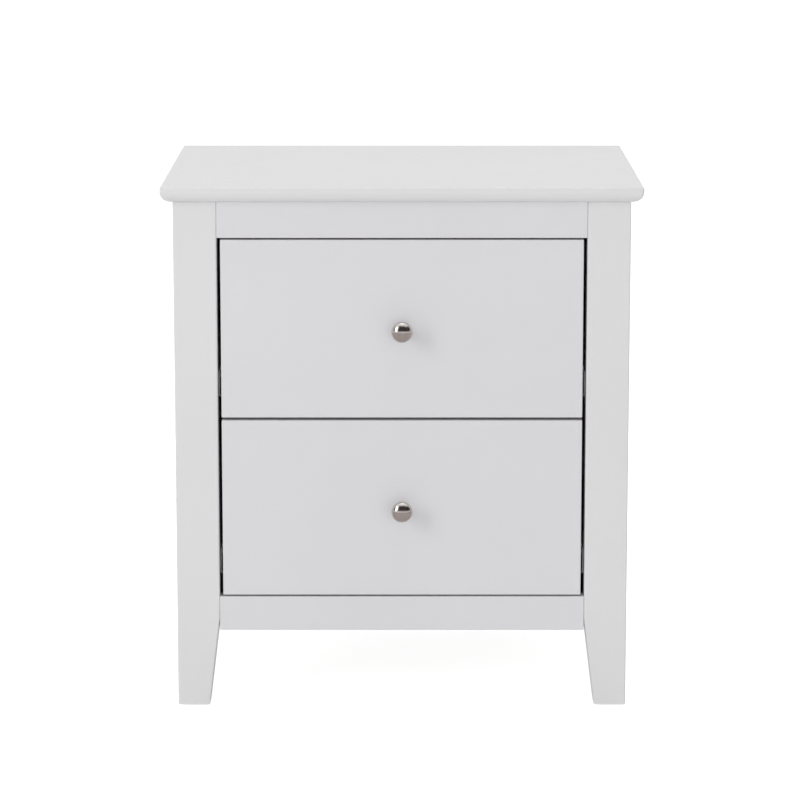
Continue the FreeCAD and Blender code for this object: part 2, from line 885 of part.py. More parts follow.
def bottom_blank(label, box_z, slack):
    """A drawer's bottom. Grown by its slack it is the tool for the grooves that hold it."""
    half = box_width / 2 - cells.box_board + cells.bottom_groove_depth
    y = box_y - cells.bottom_groove_depth
    z = box_z + cells.bottom_lift
    end = cells.bottom_end_gap - slack * cells.bottom_end_gap
    thick = slack * cells.groove_clearance
    return box(
        label,
        -half + end,
        y + end,
        z - thick,
        2 * (half - end),
        box_y + box_depth - y - end,
        cells.bottom_thickness + 2 * thick,
    )


def runner(level, box_z, axle_holes, screw_holes):
    """A left-hand drawer runner: a foot below the side, a web, and a lipped track that overhangs it."""
    metal = cells.slide_sheet
    track_top = track_height - cells.runner_rise + metal
    track_end = track_gap - slide_space
    lip_z = track_top - metal - cells.track_lip
    corners = [
        (cells.runner_foot, -metal),
        (cells.runner_foot, 0),
        (0, 0),
        (0, track_top),
        (track_end, track_top),
        (track_end, lip_z),
        (track_end + metal, lip_z),
        (track_end + metal, track_top - metal),
        (-metal, track_top - metal),
        (-metal, -metal),
    ]
    blank = along_y(f"{level}_runner_blank", corners, runner_length)
    put(blank, -box_width / 2, runner_y, box_z)
    return less(f"{level}_drawer_left_runner", blank, axle_holes, screw_holes)


def build_drawer(level, drawer_z, small_screw, axle):
    box_z = drawer_z + cells.box_lift
    side_x = box_width / 2
    name = f"{level}_drawer"
    dowels, dowel_holes = box_dowels(level, box_z)
    bottom_tool = bottom_blank(f"{level}_bottom_tool", box_z, slack=1)

    knob_z = drawer_z + drawer_height / 2
    knob = put(knob_body(f"{name}_knob"), 0, front_y, knob_z, "-y")
    reach = cells.drawer_thickness + cells.knob_screw_reach
    master = screw_master(
        f"{level}KnobScrewMaster",
        cells.knob_screw_radius,
        reach,
        cells.knob_screw_head_radius,
        cells.knob_screw_head,
    )
    knob_seat = [(0, box_y, knob_z, "-y")]
    knob_screw = copies(f"{name}_knob_screw", master, knob_seat)
    knob_hole = bores(
        f"{level}_knob_hole",
        cells.knob_screw_radius + cells.screw_clearance,
        cells.drawer_thickness,
        knob_seat,
    )

    # the runner's screws go up into the outer half of each side, clear of the bottom's groove
    runner_screw_x = side_x - (cells.box_board - cells.bottom_groove_depth) / 2
    screw_z = box_z - cells.slide_sheet
    screw_ys = (runner_y + cells.runner_screw_inset, box_y + box_depth - cells.runner_screw_inset)
    screw_seats = [(side * runner_screw_x, y, screw_z, "+z") for side in SIDES.values() for y in screw_ys]
    screw_holes = bores(
        f"{level}_runner_screw_holes",
        cells.small_screw_radius + cells.screw_clearance,
        cells.small_screw_length + cells.dowel_end_gap,
        screw_seats,
    )

    side = less(
        f"{name}_left_side",
        box(f"{level}_side_blank", -side_x, box_y, box_z, cells.box_board, box_depth, box_height),
        dowel_holes,
        bottom_tool,
        screw_holes,
    )
    back_z = box_z + cells.bottom_lift + cells.bottom_thickness
    back_blank = box(
        f"{level}_back_blank",
        cells.box_board - side_x,
        box_y + box_depth - cells.box_board,
        back_z,
        box_width - 2 * cells.box_board,
        cells.box_board,
        box_z + box_height - back_z,
    )

    axle_y = box_y + box_depth - cells.roller_setback
    axle_z = slide_base(drawer_z) + rear_axle_height
    axle_seats = [(-side_x, axle_y, axle_z, "-x"), (side_x, axle_y, axle_z, "+x")]
    axle_holes = bores(f"{level}_runner_axle_holes", cells.axle_radius, cells.slide_sheet, axle_seats)
    left_runner = runner(level, box_z, axle_holes, screw_holes)
    rollers = [
        roller(f"{name}_{side_name}_roller", x, y, z, facing)
        for side_name, (x, y, z, facing) in zip(SIDES, axle_seats)
    ]
    return [
        drawer_front(level, drawer_z, dowel_holes, bottom_tool, knob_hole),
        side,
        mirrored(f"{name}_right_side", side),
        less(f"{name}_back", back_blank, dowel_holes),
        bottom_blank(f"{name}_bottom", box_z, slack=0),
        dowels,
        knob,
        knob_screw,
        left_runner,
        mirrored(f"{name}_right_runner", left_runner),
        copies(f"{name}_runner_screws", small_screw, screw_seats),
        copies(f"{name}_roller_axles", axle, axle_seats),
        *rollers,
    ]


# ---- whole stand --------------------------------------------------------------------------------


def check(pieces):
    """Stops at a failed object, a cut that removed nothing or a piece without a valid shape."""
    for thing in doc.Objects:
        if {"Invalid", "Error"} & set(thing.State):
            raise RuntimeError(f"{thing.Label} failed: {thing.State}")
        if thing.TypeId == "Part::Cut" and thing.Shape.Volume > thing.Base.Shape.Volume - 1e-3:
            raise RuntimeError(f"{thing.Label}: its tools cut nothing away")
    for piece in pieces:
        if piece.Shape.isNull() or not piece.Shape.isValid() or not piece.Shape.Solids:
            raise RuntimeError(f"{piece.Label} has no valid shape")


def main():
    small_screw = screw_master(
        "SmallScrewMaster",
        cells.small_screw_radius,
        cells.small_screw_length,
        cells.small_screw_head_radius,
        cells.small_screw_head,
    )
    cleat_screw = screw_master(
        "CleatScrewMaster",
        cells.cleat_screw_radius,
        cells.cleat_screw_length,
        cells.cleat_screw_head_radius,
        cells.cleat_screw_head,
    )
    axle = axle_master()
    pieces = build_carcass(small_screw, cleat_screw, axle)
    for level, drawer_z in DRAWERS.items():
        pieces += build_drawer(level, drawer_z, small_screw, axle)
    doc.recompute()
    check(pieces)
    os.makedirs("parts", exist_ok=True)
    for piece in pieces:
        piece.Shape.exportStep(f"parts/{piece.Label}.step")


main()
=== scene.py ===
import math

import bpy
import numpy as np
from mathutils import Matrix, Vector


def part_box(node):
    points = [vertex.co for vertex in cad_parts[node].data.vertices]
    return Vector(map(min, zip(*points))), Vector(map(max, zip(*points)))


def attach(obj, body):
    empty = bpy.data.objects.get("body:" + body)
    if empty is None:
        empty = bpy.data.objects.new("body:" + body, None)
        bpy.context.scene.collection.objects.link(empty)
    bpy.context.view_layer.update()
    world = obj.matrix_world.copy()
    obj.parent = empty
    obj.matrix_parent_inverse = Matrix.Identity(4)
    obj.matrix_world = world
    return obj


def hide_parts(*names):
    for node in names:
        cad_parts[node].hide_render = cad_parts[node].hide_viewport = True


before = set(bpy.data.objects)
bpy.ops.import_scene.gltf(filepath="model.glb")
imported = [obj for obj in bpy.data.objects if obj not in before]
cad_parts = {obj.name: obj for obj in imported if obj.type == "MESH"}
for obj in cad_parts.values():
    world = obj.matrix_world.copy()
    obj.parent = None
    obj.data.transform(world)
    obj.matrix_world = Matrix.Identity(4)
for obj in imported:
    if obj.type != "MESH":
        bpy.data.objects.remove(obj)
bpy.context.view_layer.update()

# A two-drawer nightstand in white paint: a moulded top on four tapered posts, rails and side
# panels, and two plywood drawers on folded steel slides, each with a turned nickel knob.
# Metres. The front faces -Y. Every shape is a grid of points, levels by places round each level,
# that one formula gives for the whole grid at once.

MM = 0.001
CORNER_STEPS = 5
QUARTER = np.linspace(0, math.pi / 2, CORNER_STEPS + 1)
SIDES = {"left": -1, "right": 1}
ENDS = {"front": -1, "rear": 1}
LEVELS = ("upper", "lower")
UP = (0, 0, 1)
CREASE = math.radians(40)  # faces that meet more sharply than this are shaded apart
SHEET = 1.2 * MM  # the slides' steel
POLE = 0.05 * MM  # how near its axis a turned shape starts, where a small flat face closes it
AXLE_PIN, AXLE_COLLAR = 2 * MM, 3 * MM
# Screws: radius, length, head's radius and head's height, in millimetres.
SMALL_SCREW = (1.75, 14, 3, 1)
CLEAT_SCREW = (2, 35, 4, 2.2)
KNOB_SCREW = (2, 28, 4, 2.5)


def limits(node):
    """A CAD node's lowest and highest corner, as arrays."""
    low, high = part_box(node)
    return np.array(low), np.array(high)


# ---- shapes -------------------------------------------------------------------------------------


def stack(heights, x0, x1, y0, y1, radius, worn):
    """Rounded rectangles, one at each height.

    A point is a corner's centre plus radius * (cos a, sin a), where a goes once round, a quarter
    turn at each corner. The second grid is how exposed a point is: sin 2a within a corner's
    quarter turn, or the level's own value where that is more.
    """
    quarter = np.arange(4)[:, None] * math.pi / 2
    angle = (QUARTER + quarter).ravel()
    corner_x = np.stack([x1 - radius, x0 + radius, x0 + radius, x1 - radius], -1)
    corner_y = np.stack([y1 - radius, y1 - radius, y0 + radius, y0 + radius], -1)
    x = np.repeat(corner_x, len(QUARTER), -1) + radius[:, None] * np.cos(angle)
    y = np.repeat(corner_y, len(QUARTER), -1) + radius[:, None] * np.sin(angle)
    z = np.broadcast_to(heights[:, None], x.shape)
    exposed = np.maximum(worn[:, None], np.abs(np.sin(2 * angle)))
    return np.stack([x, y, z], -1), exposed


def eased_levels(low, high, ease):
    """Heights and insets of a board's levels.

    Each end is a quarter round: height ease * sin a and inset ease * (1 - cos a), from the middle
    of the round. How exposed a level is goes as sin 2a.
    """
    angle = np.concatenate([QUARTER - math.pi / 2, QUARTER])
    middle = np.repeat([low + ease, high - ease], len(QUARTER))
    return middle + ease * np.sin(angle), ease * (1 - np.cos(angle)), np.abs(np.sin(2 * angle))


def board(low, high, ease, fuller=1.25):
    """A board whose twelve edges are all eased: a quarter round carried round its outline.

    Its upright edges have a radius of fuller * ease, less the inset.
    """
    heights, inset, worn = eased_levels(low[2], high[2], ease)
    corner = fuller * ease - inset
    return stack(
        heights, low[0] + inset, high[0] - inset, low[1] + inset, high[1] - inset, corner, worn
    )


def moulded_top(low, high, under=11.5 * MM, arris=1.5 * MM, ease=0.8 * MM, corner=2.5 * MM):
    """The top: a section carried round the outline.

    At the front and sides the section is a large quarter round below, inset under * (1 - sin a) at
    height under * (1 - cos a), and a small one above. At the back both edges are only eased.
    """
    fine = np.linspace(0, math.pi / 2, 13)
    heights = np.concatenate(
        [low[2] + under * (1 - np.cos(fine)), high[2] - arris * (1 - np.sin(QUARTER))]
    )
    inset = np.concatenate([under * (1 - np.sin(fine)), arris * (1 - np.cos(QUARTER))])
    to_edge = np.clip(np.minimum(heights - low[2], high[2] - heights), 0, ease)
    back_inset = ease - np.sqrt(ease**2 - (ease - to_edge) ** 2)
    worn = np.concatenate([np.zeros(len(fine)), np.sin(2 * QUARTER)])
    return stack(
        heights,
        low[0] + inset,
        high[0] - inset,
        low[1] + inset,
        high[1] - back_inset,
        np.full(len(heights), corner),
        worn,
    )


def tapered_post(low, high, side, end, foot=33.5 * MM, taper=97 * MM, ease=1 * MM, fuller=1.6):
    """A post whose two inner faces taper in to the foot.

    Its width at height z is full - (full - foot) * s, where s is (t + sqrt(t^2 + soft^2)) / 2 and
    t falls evenly from 1 at the foot to 0 at the top of the taper and on below 0 above it. Levels
    a bend to each side of the taper's top carry the soft turn there.
    """
    soft, bend = 0.02, 14 * MM
    ends, ends_inset, ends_worn = eased_levels(low[2], high[2], ease)
    between = np.linspace(taper - bend, taper + bend, 9)
    half = len(QUARTER)
    heights = np.concatenate([ends[:half], between, ends[half:]])
    inset = np.concatenate([ends_inset[:half], 0 * between, ends_inset[half:]])
    worn = np.concatenate([ends_worn[:half], 0 * between, ends_worn[half:]])
    fall = (taper - heights) / (taper - low[2])
    share = (fall + np.sqrt(fall**2 + soft**2)) / 2
    width = (high[0] - low[0]) - (high[0] - low[0] - foot) * share
    x0 = low[0] + inset if side < 0 else high[0] - width + inset
    x1 = low[0] + width - inset if side < 0 else high[0] - inset
    y0 = low[1] + inset if end < 0 else high[1] - width + inset
    y1 = low[1] + width - inset if end < 0 else high[1] - inset
    return stack(heights, x0, x1, y0, y1, fuller * ease - inset, worn)


def bow(start, end, radius, steps=10):
    """Points along the arc of a circle from start to end.

    The centre lies off the middle of the chord by sqrt(radius^2 - (chord / 2)^2). The arc bulges
    to the right of the way it runs, or to the left where the radius is negative.
    """
    start, end = np.array(start), np.array(end)
    chord = end - start
    right = np.array([chord[1], -chord[0]]) / np.hypot(*chord)
    reach = math.sqrt(radius**2 - chord @ chord / 4)
    centre = (start + end) / 2 - math.copysign(reach, radius) * right
    first, last = (math.atan2(*(point - centre)[::-1]) for point in (start, end))
    sweep = (last - first + math.pi) % (2 * math.pi) - math.pi
    angle = first + sweep * np.linspace(0, 1, steps + 1)
    return centre + abs(radius) * np.stack([np.cos(angle), np.sin(angle)], -1)


def turned(profile, columns=48):
    """A profile of (radius, height) points turned about +Z: (r cos a, r sin a, h).

    The second grid is the distance run along the profile.
    """
    profile = np.array(profile, dtype=float)
    angle = np.linspace(0, 2 * math.pi, columns, endpoint=False)
    radius, height = profile[:, :1], profile[:, 1:]
    points = np.stack([radius * np.cos(angle), radius * np.sin(angle), height + 0 * angle], -1)
    steps = np.hypot(*np.diff(profile, axis=0).T)
    run = np.concatenate([[0], np.cumsum(steps)])
    return points, np.repeat(run[:, None], columns, 1)


def screw(radius, length, head_radius, head, columns=24):
    """A pan-head screw: tip along +Z, the underside of its head at z = 0.

    The head's top is -head * (1 - dome (r / R)^4), sunk where a cross covers it: a point is in the
    cross where its smaller offset from the two arms is under their half width and its larger one
    under their reach, and each wall slopes over a short way. The thread's radius is the shank's
    times 1 - cut * (1 - ridge), where ridge is 1 - |2 frac(z / pitch - a / 2 pi) - 1|.
    """
    pitch, rows_in_pitch, cut = 1.4 * MM, 5, 0.2
    dome, sunk = 0.25, 0.55 * head
    arm, arm_wall = 0.17 * head_radius, 0.07 * head_radius
    reach, reach_wall = 0.66 * head_radius, 0.14 * head_radius
    angle = np.linspace(0, 2 * math.pi, columns, endpoint=False)
    head_r = np.linspace(0.04, 0.94, 13) * head_radius
    head_z = -head * (1 - dome * (head_r / head_radius) ** 4)
    rim_r, rim_z = np.array([0.985, 1, 1]) * head_radius, np.array([-0.66, -0.45, 0]) * head
    straight = length - 2 * radius
    shank_z = np.linspace(0, straight, int(straight / pitch) * rows_in_pitch)
    shank_r = np.full(len(shank_z), radius)
    tip_r, tip_z = np.array([0.6, 0.05]) * radius, [straight + 0.9 * radius, length]
    r = np.concatenate([head_r, rim_r, shank_r, tip_r])
    z = np.concatenate([head_z, rim_z, shank_z, tip_z])
    x, y = r[:, None] * np.cos(angle), r[:, None] * np.sin(angle)
    z = z[:, None] + 0 * angle
    near, far = np.minimum(abs(x), abs(y)), np.maximum(abs(x), abs(y))
    in_arm = np.clip((arm - near) / arm_wall, 0, 1)
    in_reach = np.clip((reach - far) / reach_wall, 0, 1)
    row = np.arange(len(r))[:, None]
    z = z + sunk * in_arm * in_reach * (row < len(head_r))
    ridge = 1 - abs(2 * ((z / pitch - angle / (2 * math.pi)) % 1) - 1)
    first = len(head_r) + len(rim_r)
    threaded = (row > first) & (row < first + len(shank_z))
    squeeze = 1 - threaded * cut * (1 - ridge)
    return np.stack([x * squeeze, y * squeeze, z], -1)


def folded(corners, sheet=SHEET, bend=1 * MM):
    """The outline of a strip of sheet metal folded square at its corners.

    Its middle line turns each corner on an arc: the arc's centre, less bend * cos a of the way out,
    plus bend * sin a of the way in. The two faces lie half a sheet to each side of that line. Also
    returns how exposed each point is: sin 2a in a fold, 0 on a flat.
    """
    corners = np.array(corners, dtype=float)
    way = np.diff(corners, axis=0)
    way /= np.hypot(*way.T)[:, None]
    into, out = way[:-1, None], way[1:, None]
    cosine, sine = np.cos(QUARTER)[:, None], np.sin(QUARTER)[:, None]
    arc = corners[1:-1, None] - bend * into + bend * out - bend * out * cosine + bend * into * sine
    heading = out * sine + into * cosine
    line = np.concatenate([corners[:1], arc.reshape(-1, 2), corners[-1:]])
    heading = np.concatenate([way[:1], heading.reshape(-1, 2), way[-1:]])
    aside = np.stack([-heading[:, 1], heading[:, 0]], -1) * sheet / 2
    exposed = np.concatenate([[0], np.tile(np.sin(2 * QUARTER), len(corners) - 2), [0]])
    outline = np.concatenate([line + aside, (line - aside)[::-1]])
    return outline, np.concatenate([exposed, exposed[::-1]])


def drawn_back(sections, depths, exposed):
    """Sections of (across, up) points set one behind another at their depths along Y."""
    sections = np.array(sections)
    y = np.broadcast_to(np.array(depths)[:, None], sections.shape[:2])
    points = np.stack([sections[..., 0], y, sections[..., 1]], -1)
    return points, np.broadcast_to(exposed, sections.shape[:2])


def seated(points, places, facing):
    """A copy of a shape at each place, turned so that its own +Z looks the way it faces.

    A point becomes place + x u + y v + z w: w is the way it faces and u and v are square to it,
    each copy turned a golden angle further about w than the one before.
    """
    places, w = np.array(places, dtype=float), np.array(facing, dtype=float)
    helper = np.where(abs(w[:, 2:]) > 0.5, (1.0, 0.0, 0.0), (0.0, 0.0, 1.0))
    u = np.cross(helper, w)
    v = np.cross(w, u)
    turn = np.arange(len(places))[:, None] * math.pi * (3 - math.sqrt(5))
    u, v = u * np.cos(turn) + v * np.sin(turn), v * np.cos(turn) - u * np.sin(turn)
    axes = np.stack([u, v, w], 1)
    return places[:, None, None] + np.einsum("rci,nij->nrcj", points, axes)


# ---- meshes -------------------------------------------------------------------------------------


def grid_faces(rows, columns, looped):
    """Quads between neighbouring points of a grid whose columns go once round."""
    row = np.arange(rows if looped else rows - 1)[:, None]
    column = np.arange(columns)[None, :]
    after, below, above = (column + 1) % columns, row * columns, (row + 1) % rows * columns
    corners = [below + column, below + after, above + after, above + column]
    return np.stack(corners, -1).reshape(-1, 4)


def enclosed(points, quads):
    """The volume inside a grid of quads, a sum of tetrahedra with a corner at the origin."""
    a, b, c, d = (points[quads[:, k]] for k in range(4))
    triangles = np.einsum("ij,ij->i", np.cross(a, b), c) + np.einsum("ij,ij->i", np.cross(a, c), d)
    return triangles.sum() / 6


def made(name, node, body, finish, points, looped=False, **values):
    """Makes one piece that stands for a CAD node, out of one grid of points or several copies.

    Open grids are closed by a face at each end. Values are numbers kept at the points.
    """
    points = np.asarray(points)
    points = points.reshape(-1, *points.shape[-3:])
    copies, rows, columns = points.shape[:3]
    starts = np.arange(copies) * rows * columns
    quads = grid_faces(rows, columns, looped)
    around = np.arange(columns)
    caps = [] if looped else [around[::-1], around + (rows - 1) * columns]
    flat = points.reshape(-1, 3)
    middle = flat[: rows * columns].mean(0)
    inside_out = enclosed(flat[: rows * columns] - middle, quads) < 0
    faces = (starts[:, None, None] + quads).reshape(-1, 4).tolist()
    for cap in caps:
        faces += (starts[:, None] + cap).tolist()
    if inside_out:
        faces = [face[::-1] for face in faces]
    mesh = bpy.data.meshes.new(name)
    mesh.from_pydata(flat.tolist(), [], faces)
    for value_name, value in values.items():
        numbers = np.tile(np.asarray(value).ravel(), copies).astype(np.float32)
        mesh.attributes.new(value_name, "FLOAT", "POINT").data.foreach_set("value", numbers)
    mesh.shade_smooth()
    mesh.set_sharp_from_angle(angle=CREASE)
    mesh.materials.append(finish.material)
    piece = bpy.data.objects.new(name, mesh)
    bpy.context.scene.collection.objects.link(piece)
    shading = piece.modifiers.new("even_shading", "WEIGHTED_NORMAL")
    shading.keep_sharp = True
    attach(piece, body)
    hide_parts(node)


# ---- finishes -----------------------------------------------------------------------------------


class Finish:
    """A material built from nodes, and the name of the material slot that it belongs to."""

    def __init__(self, name, slot, **constants):
        self.slot = slot
        self.material = bpy.data.materials.new(name)
        self.material.use_nodes = True
        self.tree = self.material.node_tree
        self.surface = self.tree.nodes["Principled BSDF"]
        self.place = self.node("ShaderNodeTexCoord", {}).outputs["Object"]
        for socket, value in constants.items():
            self.surface.inputs[socket].default_value = value

    def node(self, kind, inputs, **settings):
        """A node with its settings, and its inputs linked to sockets or set to values."""
        made_node = self.tree.nodes.new(kind)
        for key, value in settings.items():
            setattr(made_node, key, value)
        for key, value in inputs.items():
            if isinstance(value, bpy.types.NodeSocket):
                self.tree.links.new(value, made_node.inputs[key])
            else:
                made_node.inputs[key].default_value = value
        return made_node

    def scaled(self, x, y, z):
        """Object coordinates stretched by a factor along each axis."""
        inputs = {"Vector": self.place, "Scale": (x, y, z)}
        return self.node("ShaderNodeMapping", inputs).outputs["Vector"]

    def noise(self, scale, where=None, detail=2.0, roughness=0.5, distortion=0.0):
        """Noise from 0 to 1, with that many cells to a metre."""
        inputs = {
            "Vector": where or self.place,
            "Scale": scale,
            "Detail": detail,
            "Roughness": roughness,
            "Distortion": distortion,
        }
        return self.node("ShaderNodeTexNoise", inputs).outputs["Fac"]

    def value(self, name):
        """A number kept at the piece's own points."""
        kept = self.node("ShaderNodeAttribute", {}, attribute_name=name)
        return kept.outputs["Fac"]

    def spread(self, value, low, high, to_low=0.0, to_high=1.0):
        """A value's range stretched to another, and held at its ends."""
        inputs = {
            "Value": value,
            "From Min": low,
            "From Max": high,
            "To Min": to_low,
            "To Max": to_high,
        }
        return self.node("ShaderNodeMapRange", inputs).outputs["Result"]

    def maths(self, operation, first, second=0.0):
        """One sum done to one or two values."""
        made_node = self.node("ShaderNodeMath", {0: first, 1: second}, operation=operation)
        return made_node.outputs["Value"]

    def blend(self, factor, first, second):
        """A colour between two, given as sockets or as (r, g, b)."""
        inputs = {0: factor}
        for colour_input, colour in ((6, first), (7, second)):
            is_socket = isinstance(colour, bpy.types.NodeSocket)
            inputs[colour_input] = colour if is_socket else (*colour, 1)
        return self.node("ShaderNodeMix", inputs, data_type="RGBA").outputs[2]

    def along(self, axis):
        """How far a face looks along one axis, either way: 1 along it and 0 square to it."""
        normal = self.node("ShaderNodeNewGeometry", {}).outputs["True Normal"]
        parts = self.node("ShaderNodeSeparateXYZ", {"Vector": normal})
        return self.maths("ABSOLUTE", parts.outputs[axis])

    def dress(self, colour=None, roughness=None, height=None, depth=0.0):
        """Sets what varies: the colour, the roughness and a relief of the given depth."""
        if colour is not None:
            self.tree.links.new(colour, self.surface.inputs["Base Color"])
        if roughness is not None:
            self.tree.links.new(roughness, self.surface.inputs["Roughness"])
        if height is not None:
            inputs = {"Height": height, "Distance": depth, "Strength": 1.0}
            relief = self.node("ShaderNodeBump", inputs).outputs["Normal"]
            self.tree.links.new(relief, self.surface.inputs["Normal"])
        return self


def white_paint(name, pale, dull):
    """Satin paint off a fine roller: a faint stipple, slow shifts of tone, thinner on edges."""
    paint = Finish(name, "white_paint", IOR=1.48)
    cloud = paint.noise(4.5, detail=3.0)
    tone = paint.blend(paint.spread(cloud, 0.3, 0.7), dull, pale)
    patchy = paint.spread(paint.noise(160, detail=3.0), 0.42, 0.62)
    thin = paint.maths("MULTIPLY", paint.value("worn"), patchy)
    tone = paint.blend(paint.maths("MULTIPLY", thin, 0.4), tone, (0.72, 0.705, 0.68))
    gloss = paint.spread(paint.noise(22, detail=3.0), 0.3, 0.7, 0.43, 0.47)
    gloss = paint.maths("SUBTRACT", gloss, paint.maths("MULTIPLY", thin, 0.1))
    stipple = paint.noise(850, detail=2.0)
    return paint.dress(tone, gloss, stipple, 0.03 * MM)


def long_grain(finish, axis, across=42.0, along=2.2):
    """Grain figure and fine fibre, both stretched along an axis."""
    axes = "xyz"
    figure = finish.scaled(*(along if each == axis else across for each in axes))
    fibre = finish.scaled(*(25.0 if each == axis else 1100.0 for each in axes))
    bands = finish.noise(1.0, figure, detail=4.0, roughness=0.6, distortion=0.7)
    return bands, finish.noise(1.0, fibre, detail=2.0)


def planed_wood(name, slot, axis, pale, dark):
    """Planed softwood: growth bands and fine fibre along the board, darker on its end grain."""
    wood = Finish(name, slot, IOR=1.5)
    bands, fibre = long_grain(wood, axis)
    tone = wood.blend(wood.spread(bands, 0.34, 0.64), pale, dark)
    shade = wood.spread(fibre, 0.3, 0.75, 0.0, 0.35)
    tone = wood.blend(shade, tone, dark)
    ends = wood.spread(wood.along(axis.upper()), 0.6, 0.8, 0.0, 0.45)
    tone = wood.blend(ends, tone, tuple(0.7 * part for part in dark))
    rough = wood.spread(bands, 0.3, 0.7, 0.5, 0.62)
    return wood.dress(tone, rough, fibre, 0.06 * MM)


def drawer_plywood(axis, through, plies, thickness):
    """Lacquered plywood: a calm face veneer, and plies laid turn about on the edges."""
    wood = Finish(f"plywood_{axis}{through}_{plies}", "drawer_board", IOR=1.5)
    bands, fibre = long_grain(wood, axis, across=26.0, along=1.6)
    face = wood.blend(wood.spread(bands, 0.32, 0.68), (0.8, 0.69, 0.53), (0.7, 0.57, 0.39))
    face = wood.blend(wood.spread(fibre, 0.35, 0.75, 0.0, 0.3), face, (0.62, 0.48, 0.31))
    place = wood.node("ShaderNodeSeparateXYZ", {"Vector": wood.place}).outputs[through.upper()]
    ply = wood.maths("PINGPONG", place, thickness / plies)
    ply = wood.spread(ply, 0.35 * thickness / plies, 0.65 * thickness / plies)
    edge = wood.blend(ply, (0.72, 0.58, 0.4), (0.46, 0.33, 0.2))
    blotches = wood.spread(wood.noise(600, detail=3.0), 0.35, 0.7, 0.0, 0.4)
    edge = wood.blend(blotches, edge, (0.6, 0.46, 0.3))
    tone = wood.blend(wood.spread(wood.along(through.upper()), 0.55, 0.8), edge, face)
    worn = wood.maths("MULTIPLY", wood.value("worn"), 0.35)
    tone = wood.blend(worn, tone, (0.84, 0.74, 0.58))
    rough = wood.spread(fibre, 0.3, 0.7, 0.38, 0.5)
    return wood.dress(tone, rough, fibre, 0.04 * MM)


def back_hardboard(through):
    """White-faced hardboard: a fine leathery face, and brown fibre where the sheet is cut."""
    sheet = Finish(f"white_faced_hardboard_{through}", "back_board", IOR=1.48)
    cloud = sheet.spread(sheet.noise(7, detail=4.0), 0.3, 0.7)
    face = sheet.blend(cloud, (0.755, 0.755, 0.745), (0.79, 0.79, 0.785))
    cut = sheet.blend(sheet.noise(500, detail=3.0), (0.3, 0.2, 0.12), (0.44, 0.31, 0.2))
    tone = sheet.blend(sheet.spread(sheet.along(through), 0.5, 0.8), cut, face)
    rough = sheet.spread(sheet.noise(40), 0.3, 0.7, 0.48, 0.6)
    weave = sheet.noise(1.0, sheet.scaled(900, 900, 1300), detail=3.0)
    return sheet.dress(tone, rough, weave, 0.06 * MM)


def slide_enamel():
    """Off-white baked enamel: orange peel, and rubbed to the grey steel here and there on folds."""
    enamel = Finish("off_white_enamel", "slide_enamel", IOR=1.5)
    cloud = enamel.spread(enamel.noise(18, detail=3.0), 0.3, 0.7)
    tone = enamel.blend(cloud, (0.8, 0.8, 0.765), (0.83, 0.83, 0.805))
    rubbed = enamel.spread(enamel.noise(1.0, enamel.scaled(500, 30, 500), detail=3.0), 0.5, 0.66)
    rubbed = enamel.maths("MULTIPLY", rubbed, enamel.value("worn"))
    tone = enamel.blend(enamel.maths("MULTIPLY", rubbed, 0.6), tone, (0.5, 0.5, 0.49))
    rough = enamel.spread(enamel.noise(60), 0.3, 0.7, 0.26, 0.36)
    return enamel.dress(tone, rough, enamel.noise(420), 0.03 * MM)


def nylon(name, slot, pale, dull, scuffed):
    """Moulded nylon: faint flow marks, a fine texture, and scuffs where it rolls or rests."""
    plastic = Finish(name, slot, IOR=1.53)
    flow = plastic.spread(plastic.noise(260, detail=3.0), 0.3, 0.7)
    tone = plastic.blend(flow, pale, dull)
    marks = plastic.spread(plastic.noise(700, detail=3.0), 0.45, 0.6)
    scuffs = plastic.maths("MULTIPLY", marks, plastic.value("worn"))
    tone = plastic.blend(plastic.maths("MULTIPLY", scuffs, 0.6), tone, scuffed)
    rough = plastic.spread(scuffs, 0.0, 1.0, 0.4, 0.6)
    return plastic.dress(tone, rough, plastic.noise(1800), 0.02 * MM)


def zinc_plate():
    """Bright zinc plate: cloudy, between a breath of blue and one of straw."""
    plate = Finish("bright_zinc", "zinc_steel", Metallic=1.0)
    cloud = plate.spread(plate.noise(420, detail=3.0), 0.3, 0.7)
    tone = plate.blend(cloud, (0.6, 0.63, 0.67), (0.7, 0.69, 0.65))
    rough = plate.spread(plate.noise(900, detail=3.0), 0.3, 0.7, 0.26, 0.42)
    return plate.dress(tone, rough, plate.noise(2600), 0.012 * MM)


def satin_nickel():
    """Satin nickel: fine rings left by the lathe brush, and a slight cloud of tone."""
    nickel = Finish("satin_nickel_plate", "satin_nickel", Metallic=1.0)
    run = nickel.value("run")
    ring_place = nickel.node("ShaderNodeCombineXYZ", {"X": nickel.maths("MULTIPLY", run, 7000.0)})
    rings = nickel.noise(1.0, ring_place.outputs["Vector"], detail=2.0)
    cloud = nickel.spread(nickel.noise(170, detail=2.0), 0.3, 0.7)
    tone = nickel.blend(cloud, (0.52, 0.49, 0.465), (0.6, 0.575, 0.55))
    rough = nickel.spread(rings, 0.3, 0.7, 0.15, 0.24)
    return nickel.dress(tone, rough, rings, 0.004 * MM)


# ---- light, floor and camera --------------------------------------------------------------------


def seen_directly(tree):
    """1 for what the camera, a reflection or a clear surface sees, 0 for light that it gives."""
    path = tree.nodes.new("ShaderNodeLightPath")
    result = path.outputs["Is Camera Ray"]
    for name in ("Is Glossy Ray", "Is Transmission Ray"):
        either = tree.nodes.new("ShaderNodeMath")
        either.operation = "MAXIMUM"
        tree.links.new(result, either.inputs[0])
        tree.links.new(path.outputs[name], either.inputs[1])
        result = either.outputs["Value"]
    return result


